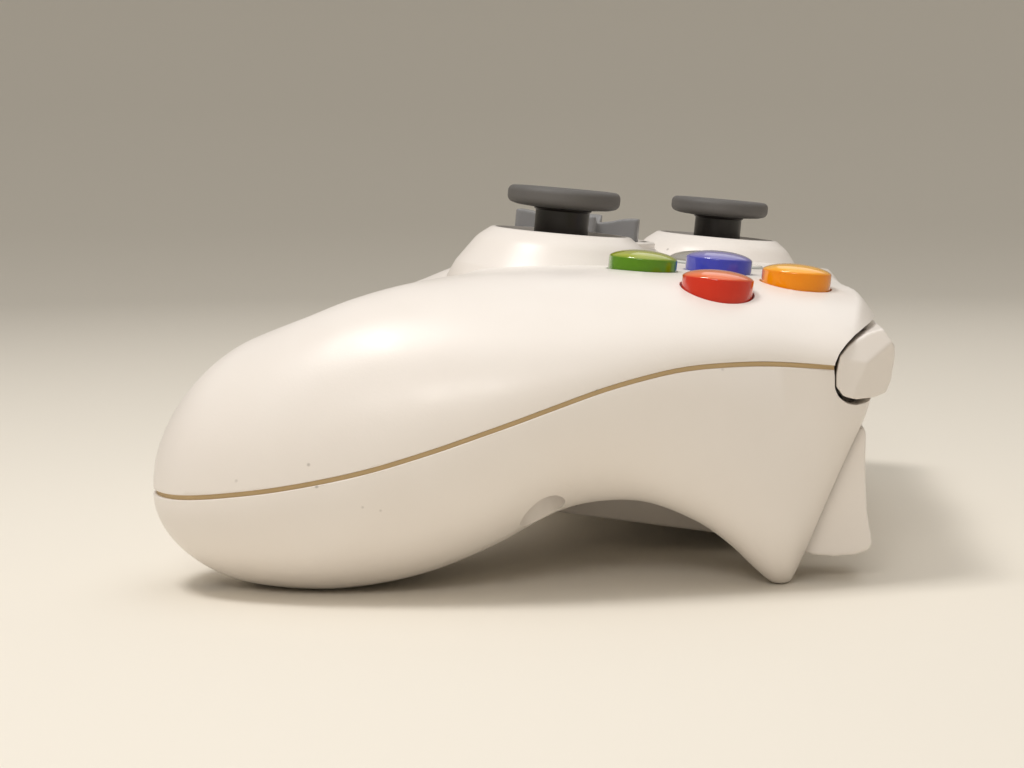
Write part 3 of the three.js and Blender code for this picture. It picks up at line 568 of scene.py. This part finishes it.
# The bumper slot: where it ends in Y, how far out it reaches in X, and its upper and lower edges in Y and Z.
SLOT_REAR, SLOT_FRONT, SLOT_HALF = 44.5, 58, 61
SLOT_TOP = rounded([(51.7, 38.6), (49.3, 37.7), (47.6, 36.8), (46.3, 35.7), (45.2, 34.4), (44.58, 33)], 3, 6)
SLOT_FOOT = rounded(
    [(44.58, 30.5), (44.58, 29.3), (45.3, 27.9), (46.4, 27.1), (47.7, 26.7), (50, 27)], 2.5, 6)


def cross_outline(reach, width, radius=0.8):
    w = width / 2
    corners = [(w, -reach), (w, -w), (reach, -w), (reach, w), (w, w), (w, reach),
               (-w, reach), (-w, w), (-reach, w), (-reach, -w), (-w, -w), (-w, -reach)]
    return loop_rounded(corners, radius, 4)


def collar(rim, foot, low):
    """The ring that a stick or the pad rises from, flaring out to its foot."""
    profile = [(0, -30), (foot + 1.2, -30), (foot + 1.2, low - 3.2), (foot, low - 0.6),
               (foot - 1.6, low + 1.6), (foot - 3.2, low * 0.3), (rim, 0), (0, 0)]
    return lathe(rounded(profile, [0, 0, 0, 3, 5, 6, 1.1, 0], 8), 120)


def room_top(x, y, edge):
    """The hollow's ceiling: under the top wall, and at least 7.2 mm under the face's plane."""
    return np.minimum(under_top(x, y), 43.6 - 0.0963 * (y - 2.4))


def make_top_casing():
    hood = over_plan(HOOD_FRONT, 0, hood_top,
                     lambda x, y, edge: seam_height(y) + SEAM_GAP / 2 + rim_round(x, y, HOOD_FRONT), FINE)
    room = over_plan(HOOD_FRONT, WALL, room_top, seam(SEAM_GAP / 2 - 3), COARSE)
    prism = over_plan(HOOD_FRONT, 0, seam(40), seam(SEAM_GAP / 2), COARSE)
    slot = bar([(SLOT_REAR, 31.6), (SLOT_FRONT, 31.6), (SLOT_FRONT, 40.4), *SLOT_TOP], -SLOT_HALF, SLOT_HALF)
    collars = carved("collars", moved(collar(*STICK_COLLAR), LEFT_STICK), [
        ("UNION", moved(collar(*STICK_COLLAR), RIGHT_STICK)),
        ("UNION", moved(collar(*DPAD_COLLAR), DPAD @ at(0, 0, -1.7))),
        ("INTERSECT", prism),
    ])
    steps = [("UNION", shape_of(collars)), ("DIFFERENCE", room), ("DIFFERENCE", slot)]
    well = lathe(rounded(
        [(0, -12), (10.8, -12), (10.8, -7.1), (9.4, -6.9), (9.4, -6.2), (10.6, -0.5), (10.8, 0.2), (10.8, 2),
         (0, 2)],
        [0, 0, 0, 0, 1.5, 0, 0, 0, 0]), 96)
    steps += [("DIFFERENCE", moved(well, place)) for place in (LEFT_STICK, RIGHT_STICK)]
    dish = lathe(rounded([(0, -3.4), (12.6, -3.4), (13.2, 0.5), (0, 0.5)], [0, 0.8, 0, 0]), 96)
    cross_hole = plate(cross_outline(CROSS_REACH + 1.1, CROSS_WIDTH + 1.3), -12, 0)
    steps += [("DIFFERENCE", moved(dish, DPAD)), ("DIFFERENCE", moved(cross_hole, DPAD))]
    for spot in FACE_BUTTONS.values():
        steps.append(("DIFFERENCE", moved(rod(BUTTON_RADIUS + 0.3, -7, 8, 72), tilted(spot, FACE_TILT))))
    steps.append(("DIFFERENCE", moved(rod(9.75, -8, 6, 96), MENU)))
    for side in (-MENU_SPREAD, MENU_SPREAD):
        steps.append(("DIFFERENCE", moved(plate(rectangle(7.8, 5.2, 2.4), -8, 6), MENU @ at(side, 0, 0))))
    return carved("top_casing_fine", hood, steps)


def make_bottom_casing():
    bowl = over_plan(CHIN_FRONT, 0,
                     lambda x, y, edge: seam_height(y) - SEAM_GAP / 2 - rim_round(x, y, CHIN_FRONT),
                     bowl_bottom, FINE)
    room = over_plan(CHIN_FRONT, WALL, seam(3 - SEAM_GAP / 2), lambda x, y, edge: over_bottom(x, y), COARSE)
    whole = over_plan(CHIN_FRONT, 0.02, seam(-SEAM_GAP / 2), bowl_bottom, COARSE)
    bosses = [moved(rod(4.8, -2, seat + 2.4), at(side * x, y, 0))
              for x, y, seat in SCREWS for side in (-1, 1)]
    walls = carved("walls", moved(block(-30.7, 30.7, -24.2, 24.2, -19.6, 20.4), PACK),
                   [("UNION", boss) for boss in bosses] + [("INTERSECT", whole)])
    steps = [("DIFFERENCE", room), ("UNION", shape_of(walls))]
    for flip in reversed(BOTH_SIDES):
        for left in (37.4, 47.4):
            steps.append(("UNION", moved(block(left, left + 1.8, 42.5, 49.5, 24.2, 28.5), flip)))
    steps.append(("DIFFERENCE", block(-100, 100, -100, 100, -5, 0)))
    steps.append(("DIFFERENCE", moved(plate(rectangle(55.8, 42.8, 4.2), -30, 18), PACK)))
    for x, y, seat in SCREWS:
        recess = lathe(rounded(
            [(0, -5), (3.2, -5), (3.2, seat), (1.45, seat), (1.45, seat + 4), (0, seat + 4)],
            [0, 0, 0.4, 0, 0, 0]), 48)
        steps += [("DIFFERENCE", moved(recess, at(side * x, y, 0))) for side in (-1, 1)]
    band = [(SLOT_REAR, 31.4), (SLOT_FRONT, 31.4), (SLOT_FRONT, 36), (SLOT_REAR, 36)]
    steps.append(("DIFFERENCE", bar(band, -SLOT_HALF, SLOT_HALF)))
    end = bar([(SLOT_REAR, 33), *SLOT_FOOT, (SLOT_FRONT, 27.2), (SLOT_FRONT, 33)], 49.2, SLOT_HALF)
    mouth_outline = [(36, 2.4), (58, 2.4), (58, 23.6), (46.2, 23.6), (45.3, 21.4), (40.4, 14.2), (35.2, 6.6),
                     (35.2, 4.6)]
    mouth = bar(mouth_outline, 38.6, 52.8)
    arm = block(39.3, 47.3, 40, 48.3, 20.05, 30.55)
    for flip in BOTH_SIDES:
        steps += [("DIFFERENCE", moved(cutter, flip)) for cutter in (end, mouth, arm)]
    steps.append(("DIFFERENCE", block(-5.7, 5.7, 45.6, 53.6, 28.6, 33)))
    return carved("bottom_casing_fine", bowl, steps)


def make_seam_lip():
    """The strip that shows in the seam, left out where the bumpers' slot runs."""
    ring = over_plan(CHIN_FRONT, 0.5, seam(0.28), seam(-2), MEDIUM)
    room = over_plan(CHIN_FRONT, WALL + 0.1, seam(2), seam(-4), COARSE)
    ahead = block(-90, 90, SLOT_REAR, 60, 20, 40)
    return carved("seam_lip", ring, [("DIFFERENCE", room), ("DIFFERENCE", ahead)])


# ---------------------------------------------------------------- materials
def plain(name, colour, roughness, **extra):
    material = bpy.data.materials.new(name)
    material.use_nodes = True
    shader = material.node_tree.nodes["Principled BSDF"]
    shader.inputs["Base Color"].default_value = (*colour, 1)
    shader.inputs["Roughness"].default_value = roughness
    for key, value in extra.items():
        shader.inputs[key.replace("_", " ")].default_value = value
    return material


class Nodes:
    """Short names for the node calls that the materials repeat."""

    def __init__(self, material):
        self.tree = material.node_tree
        self.shader = self.tree.nodes["Principled BSDF"]
        self.place = self.tree.nodes.new("ShaderNodeTexCoord").outputs["Object"]

    def link(self, out, into):
        self.tree.links.new(out, into)

    def noise(self, scale, detail=3.0, roughness=0.5, stretch=None):
        node = self.tree.nodes.new("ShaderNodeTexNoise")
        node.inputs["Scale"].default_value = scale
        node.inputs["Detail"].default_value = detail
        node.inputs["Roughness"].default_value = roughness
        self.link(self.stretched(stretch), node.inputs["Vector"])
        return node.outputs["Fac"]

    def cells(self, scale, stretch=None):
        node = self.tree.nodes.new("ShaderNodeTexVoronoi")
        node.inputs["Scale"].default_value = scale
        self.link(self.stretched(stretch), node.inputs["Vector"])
        return node

    def stretched(self, stretch):
        if stretch is None:
            return self.place
        node = self.tree.nodes.new("ShaderNodeMapping")
        node.inputs["Scale"].default_value = stretch[:3]
        if len(stretch) > 3:
            node.inputs["Rotation"].default_value = stretch[3:6]
        self.link(self.place, node.inputs["Vector"])
        return node.outputs["Vector"]

    def ramp(self, value, low, high, start=0.0, end=1.0):
        node = self.tree.nodes.new("ShaderNodeMapRange")
        for key, number in (("From Min", low), ("From Max", high), ("To Min", start), ("To Max", end)):
            node.inputs[key].default_value = number
        self.link(value, node.inputs["Value"])
        return node.outputs["Result"]

    def math(self, operation, a, b):
        node = self.tree.nodes.new("ShaderNodeMath")
        node.operation = operation
        for value, socket in ((a, node.inputs[0]), (b, node.inputs[1])):
            if isinstance(value, (int, float)):
                socket.default_value = value
            else:
                self.link(value, socket)
        return node.outputs["Value"]

    def mix(self, share, a, b):
        node = self.tree.nodes.new("ShaderNodeMix")
        node.data_type = "RGBA"
        self.link(share, node.inputs["Factor"])
        for value, socket in ((a, node.inputs[6]), (b, node.inputs[7])):
            if isinstance(value, tuple):
                socket.default_value = (*value, 1)
            else:
                self.link(value, socket)
        return node.outputs[2]

    def bump(self, height, strength, distance, before=None):
        node = self.tree.nodes.new("ShaderNodeBump")
        node.inputs["Strength"].default_value = strength
        node.inputs["Distance"].default_value = distance
        self.link(height, node.inputs["Height"])
        if before is not None:
            self.link(before, node.inputs["Normal"])
        self.link(node.outputs["Normal"], self.shader.inputs["Normal"])
        return node.outputs["Normal"]


def moulded(name, colour, other, roughness, grain=2600.0, depth=0.00004, spread=0.06, specks=0.0):
    """Moulded plastic: slight mottling, a fine grain and, if asked for, sparse specks."""
    material = plain(name, colour, roughness)
    n = Nodes(material)
    tone = n.mix(n.ramp(n.noise(38, 4), 0.35, 0.65), colour, other)
    if specks:
        cell = n.cells(260)
        near = n.ramp(cell.outputs["Distance"], 0.03, 0.10, 1, 0)
        chosen = n.ramp(n.noise(90, 2), 0.62, 0.66)
        tone = n.mix(n.math("MULTIPLY", n.math("MULTIPLY", near, chosen), specks), tone, (0.16, 0.13, 0.1))
    n.link(tone, n.shader.inputs["Base Color"])
    wandering = n.ramp(n.noise(120, 5), 0.3, 0.7, roughness - spread, roughness + spread)
    n.link(wandering, n.shader.inputs["Roughness"])
    n.bump(n.noise(grain, 3, 0.6), 0.35, depth)
    return material


def lens(name, side, crown):
    """Clear coloured glossy plastic: deep at its side, and lighter over its crown by a painted reflection."""
    material = plain(name, side, 0.06)
    n = Nodes(material)
    turn = n.tree.nodes.new("ShaderNodeSeparateXYZ")
    n.link(n.tree.nodes.new("ShaderNodeNewGeometry").outputs["Normal"], turn.inputs["Vector"])
    # Painted reflection: the colour turns from the side's colour to the crown's lighter one as the surface
    # faces up.
    n.link(n.mix(n.ramp(turn.outputs["Z"], 0.25, 0.95), side, crown), n.shader.inputs["Base Color"])
    n.shader.inputs["Coat Weight"].default_value = 0.6
    n.shader.inputs["Coat Roughness"].default_value = 0.03
    n.shader.inputs["Subsurface Weight"].default_value = 0.35
    n.shader.inputs["Subsurface Radius"].default_value = (0.004, 0.004, 0.004)
    n.link(n.ramp(n.noise(300, 4), 0.3, 0.7, 0.05, 0.11), n.shader.inputs["Roughness"])
    return material


def metal(name, colour, roughness, metallic, grain, spread):
    """A metal whose roughness wanders within its spread; the grain is the noise's scale and detail."""
    material = plain(name, colour, roughness, Metallic=metallic)
    n = Nodes(material)
    n.link(n.ramp(n.noise(*grain), 0.3, 0.7, *spread), n.shader.inputs["Roughness"])
    return material


MATERIALS = {
    "casing_white": moulded("casing_white", (0.86, 0.81, 0.76), (0.835, 0.78, 0.725), 0.34, specks=0.7),
    "seam_lip": moulded("seam_lip", (0.66, 0.49, 0.27), (0.58, 0.42, 0.22), 0.6),
    "stick_rubber": moulded("stick_rubber", (0.125, 0.118, 0.112), (0.105, 0.1, 0.095), 0.62, 1800, 0.00006),
    "stick_black": moulded("stick_black", (0.018, 0.014, 0.012), (0.012, 0.01, 0.009), 0.35, 1500, 0.00002),
    "pad_grey": moulded("pad_grey", (0.24, 0.24, 0.245), (0.21, 0.21, 0.215), 0.4, 2200, 0.00003),
    "inner_plastic": moulded("inner_plastic", (0.03, 0.03, 0.032), (0.04, 0.04, 0.042), 0.55),
    "grey_rubber": moulded("grey_rubber", (0.45, 0.43, 0.4), (0.4, 0.38, 0.35), 0.8),
    "board": moulded("board", (0.02, 0.13, 0.05), (0.03, 0.16, 0.07), 0.45, 900),
    "cell_jacket": moulded("cell_jacket", (0.05, 0.08, 0.13), (0.04, 0.07, 0.11), 0.3, 600, 0.00001),
    # Each lens's second colour is a painted reflection, lighter over its crown.
    "green_lens": lens("green_lens", (0.10, 0.26, 0.006), (0.38, 0.42, 0.03)),
    "red_lens": lens("red_lens", (0.66, 0.03, 0.008), (0.82, 0.19, 0.045)),
    "blue_lens": lens("blue_lens", (0.05, 0.06, 0.48), (0.22, 0.2, 0.5)),
    "amber_lens": lens("amber_lens", (0.92, 0.30, 0.004), (0.98, 0.47, 0.02)),
    "ring_lens": lens("ring_lens", (0.5, 0.52, 0.5), (0.66, 0.68, 0.64)),
    "steel": metal("steel", (0.55, 0.55, 0.57), 0.32, 1.0, (700, 4), (0.25, 0.42)),
    "guide_silver": metal("guide_silver", (0.6, 0.57, 0.52), 0.22, 0.65, (500, 3), (0.16, 0.28)),
}


# ---------------------------------------------------------------- pieces
def finished(name, shape, material, body, slot, *nodes, angle=32):
    made = make_object(name, *shape)
    shade(made, angle)
    stand_for(made, MATERIALS[material], body, slot, *nodes)
    return made


def add_casings():
    top = make_top_casing()
    shade(top, 34)
    stand_for(top, MATERIALS["casing_white"], "casing", "casing_white", "top_casing")
    bottom = make_bottom_casing()
    shade(bottom, 34)
    stand_for(bottom, MATERIALS["casing_white"], "casing", "casing_white", "bottom_casing")
    lip = make_seam_lip()
    shade(lip, 34)
    stand_for(lip, MATERIALS["seam_lip"], "casing", "inner_plastic")


def add_sticks():
    cap = rounded(
        [(0, 3.72), (5.2, 3.72), (7.4, 3.9), (9.15, 4.35), (9.15, 6.9), (7.2, 7.0), (6.2, 6.45), (0, 6.2)],
        [0, 0.6, 3, 1.25, 1.4, 0.8, 0.8, 0], 7)
    stem = rounded([(0, -4.4), (4.4, -4.4), (4.4, 3.3), (4.9, 3.68), (0, 3.68)], [0, 0, 0.3, 0.1, 0], 4)
    skirt = rounded(
        [(0, -3.6), (2.6, -3.9), (5.2, -4.95), (7.5, -6.5), (8.2, -5.8), (5.8, -3.95), (3, -2.8), (0, -2.4)],
        [0, 1, 1, 0.3, 0.3, 2, 2, 0], 5)
    for side, place in (("left", LEFT_STICK), ("right", RIGHT_STICK)):
        body = f"{side}_stick"
        finished(f"{side}_cap_rubber", moved(lathe(cap, 96), place), "stick_rubber", body, "stick_rubber",
                 f"{side}_stick_cap")
        finished(f"{side}_stem", moved(lathe(stem, 64), place), "stick_black", body, "stick_black")
        finished(f"{side}_skirt", moved(lathe(skirt, 72), place), "stick_black", body, "stick_black")


def add_dpad():
    dish = lathe([(0, 0.65), (2, 0.68), (4, 0.82), (5.5, 1.08), (7, 1.43), (8.2, 1.84), (9.2, 2.1),
                  (10.2, 2.22), (11.6, 2.3), (18, 5), (18, 12), (0, 12)], 96)
    turns = np.linspace(-math.pi / 2, math.pi / 2, 25)
    socket = lathe([(2.9 * math.cos(t), 2.9 * math.sin(t) - 6) for t in turns], 48)
    mouth = lathe([(0, -12), (4.6, -12), (2.5, -6), (0, -6)], 48)
    flange = rod(8.6, -10.2, -9.2)
    steps = [("DIFFERENCE", dish), ("UNION", flange), ("DIFFERENCE", socket), ("DIFFERENCE", mouth)]
    for x, y in ((7, 0), (-7, 0), (0, 7), (0, -7)):
        steps.append(("UNION", moved(rod(1.9, -16.6, -9.6), at(x, y, 0))))
    made = carved("dpad_cross_fine", plate(cross_outline(CROSS_REACH, CROSS_WIDTH, 0.7), -9.6, 4), steps)
    melted(made, 0.2, 13)
    made.data.transform(at(*(DPAD.translation * MM)) @ DPAD.to_3x3().to_4x4())
    stand_for(made, MATERIALS["pad_grey"], "dpad", "pad_grey", "dpad_cross")


def dome(radius, rise, side, foot):
    """A round button: straight sides from its foot and a domed crown."""
    turns = np.linspace(0.06, math.pi / 2, 22)
    crown = [(radius * math.cos(t), side + (rise - side) * math.sin(t) ** 1.1) for t in turns]
    crown[-1] = (0, rise)
    return lathe([(0, foot), (radius, foot), (radius, side), *crown], 80)


def add_buttons():
    for colour, spot in FACE_BUTTONS.items():
        shape = moved(dome(BUTTON_RADIUS, 3.0, 1.7, BUTTON_FOOT), tilted(spot, FACE_TILT))
        look = f"{colour}_lens"
        finished(f"{colour}_crown", shape, look, f"{colour}_button", look, f"{colour}_button")
    guide = moved(dome(6.7, 2.2, 0.5, BUTTON_FOOT), MENU)
    finished("guide_dome", guide, "guide_silver", "guide_button", "guide_silver", "guide_button")
    ring = lathe([(7.05, -3.6), (9.5, -3.6), (9.5, 0.25), (9.25, 0.5), (7.3, 0.5), (7.05, 0.25)], 96)
    finished("guide_ring_fine", moved(ring, MENU), "ring_lens", "casing", "ring_lens", "guide_ring")
    capsule = plate(rectangle(7.2, 4.6, 2.2, steps=8), BUTTON_FOOT, 1.3)
    for name, side in (("back_button", -MENU_SPREAD), ("start_button", MENU_SPREAD)):
        made = make_object(f"{name}_cap", *moved(capsule, MENU @ at(side, 0, 0)))
        bevelled(made, 0.5, 4, 40)
        shade(made, 35)
        stand_for(made, MATERIALS["pad_grey"], name, "pad_grey", name)


def copied(node):
    """A copy of a CAD node's mesh, in place, as a new object."""
    source = frame["nodes"][node]
    made = bpy.data.objects.new(f"{node}_fine", source.data.copy())
    bpy.context.collection.objects.link(made)
    made.data.transform(source.matrix_world)
    return made


def softened(node, width, material, body, slot):
    """A copy of a CAD node with its edges rounded, standing for it."""
    made = copied(node)
    work = bmesh.new()
    work.from_mesh(made.data)
    bmesh.ops.remove_doubles(work, verts=work.verts, dist=WELD)
    bmesh.ops.dissolve_limit(work, angle_limit=math.radians(1.5), verts=work.verts, edges=work.edges)
    work.to_mesh(made.data)
    work.free()
    bevelled(made, width)
    shade(made, 30)
    stand_for(made, MATERIALS[material], body, slot, node)


def relaxed(node, cell, rounds, material, body, slot):
    made = copied(node)
    melted(made, cell, rounds)
    stand_for(made, MATERIALS[material], body, slot, node)


def add_front():
    for side in ("left", "right"):
        relaxed(f"bumper_{side}", 0.24, 6, "casing_white", f"bumper_{side}", "casing_white")
        relaxed(f"trigger_{side}", 0.24, 9, "casing_white", f"trigger_{side}", "casing_white")
    relaxed("centre_cover", 0.24, 3, "casing_white", "casing", "casing_white")
    cap = rounded([(0, -0.5), (1.95, -0.5), (1.95, 2.4), (0, 2.6)], [0, 0, 0.4, 0])
    finished("sync_cap", moved(lathe(cap, 48), at(*SYNC_BUTTON) @ ALONG_Y), "pad_grey", "sync_button",
             "pad_grey", "sync_button")
    softened("battery_cover", 0.5, "casing_white", "battery_pack", "casing_white")
    softened("battery_latch", 0.4, "casing_white", "battery_latch", "casing_white")


def dress_nodes():
    """Gives every CAD node that still shows a material of its slot."""
    slots = {part["node"]: part["material_slot"] for part in frame["record"]["subparts"]}
    for name, node in frame["nodes"].items():
        node.data.materials.clear()
        node.data.materials.append(MATERIALS[slots[name]])


add_camera()
add_studio()
dress_nodes()
add_casings()
add_sticks()
add_dpad()
add_buttons()
add_front()
